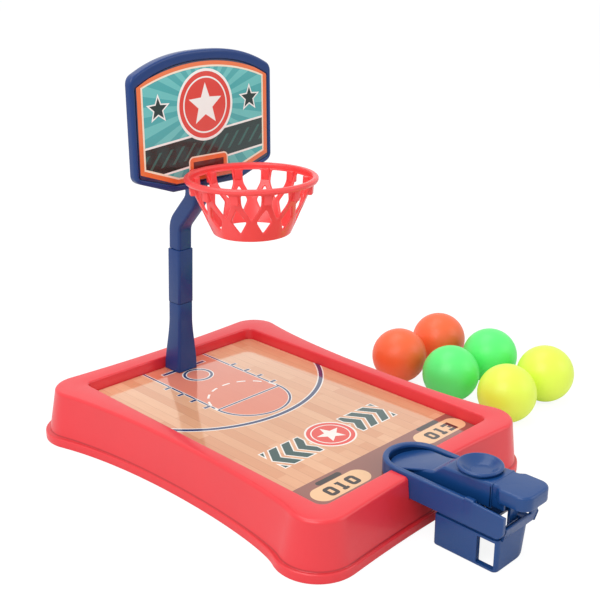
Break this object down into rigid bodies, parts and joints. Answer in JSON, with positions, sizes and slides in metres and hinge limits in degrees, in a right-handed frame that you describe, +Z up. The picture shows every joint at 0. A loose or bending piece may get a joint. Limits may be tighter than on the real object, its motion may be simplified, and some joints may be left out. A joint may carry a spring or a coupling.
{
  "type": "tabletop basketball game",
  "caption": "Tabletop basketball game: printed court tray, bent post with backboard and net hoop, sprung flick launcher and loose balls.",
  "frame": {"origin": "on the table, under the middle of the set with its balls", "axes": "+Z up; +Y from the launcher toward the post; +X toward the side where the balls lie"},
  "size_m": [0.337, 0.3558, 0.2713],
  "materials": {
    "tray_red": "smooth gloss",
    "hoop_coral": "smooth satin gloss",
    "post_blue": "smooth satin gloss",
    "launcher_blue": "smooth satin gloss",
    "court_print": "printed card under clear film",
    "board_print": "printed card under clear film",
    "spring_steel": "bright zinc plated",
    "ball_orange": "smooth moulded",
    "ball_green": "smooth moulded",
    "ball_yellow": "smooth moulded"
  },
  "bodies": {
    "game": {"base_tray": "tray_red", "court_card": "court_print", "post_foot": "post_blue", "post_sleeve": "post_blue", "post_arm": "post_blue", "backboard": "post_blue", "backboard_card": "board_print", "hoop_net": "hoop_coral", "launcher_housing": "launcher_blue", "launcher_foot": "launcher_blue", "lever_spring": "spring_steel", "nose_screw_left": "spring_steel", "nose_screw_right": "spring_steel", "foot_screw_left": "spring_steel", "foot_screw_right": "spring_steel"},
    "lever": {"launch_lever": "launcher_blue"},
    "ball_orange_1_body": {"ball_orange_1": "ball_orange"},
    "ball_orange_2_body": {"ball_orange_2": "ball_orange"},
    "ball_green_1_body": {"ball_green_1": "ball_green"},
    "ball_green_2_body": {"ball_green_2": "ball_green"},
    "ball_yellow_1_body": {"ball_yellow_1": "ball_yellow"},
    "ball_yellow_2_body": {"ball_yellow_2": "ball_yellow"}
  },
  "joints": [
    {"name": "lever_press", "type": "hinge", "parent": "game", "child": "lever", "pos_m": [-0.05653, -0.09746, 0.0344], "axis": [1, 0, 0], "range_deg": [0, 6.5], "stiffness_Nm_per_rad": 0.48, "springref_deg": -8.59, "deforming": ["lever_spring"]},
    {"name": "ball_orange_1_lift", "type": "slide", "parent": "game", "child": "ball_orange_1_body", "axis": [0, 0, 1], "range_m": [0, 0.06]},
    {"name": "ball_orange_2_lift", "type": "slide", "parent": "game", "child": "ball_orange_2_body", "axis": [0, 0, 1], "range_m": [0, 0.06]},
    {"name": "ball_green_1_lift", "type": "slide", "parent": "game", "child": "ball_green_1_body", "axis": [0, 0, 1], "range_m": [0, 0.06]},
    {"name": "ball_green_2_lift", "type": "slide", "parent": "game", "child": "ball_green_2_body", "axis": [0, 0, 1], "range_m": [0, 0.06]},
    {"name": "ball_yellow_1_lift", "type": "slide", "parent": "game", "child": "ball_yellow_1_body", "axis": [0, 0, 1], "range_m": [0, 0.06]},
    {"name": "ball_yellow_2_lift", "type": "slide", "parent": "game", "child": "ball_yellow_2_body", "axis": [0, 0, 1], "range_m": [0, 0.06]}
  ]
}
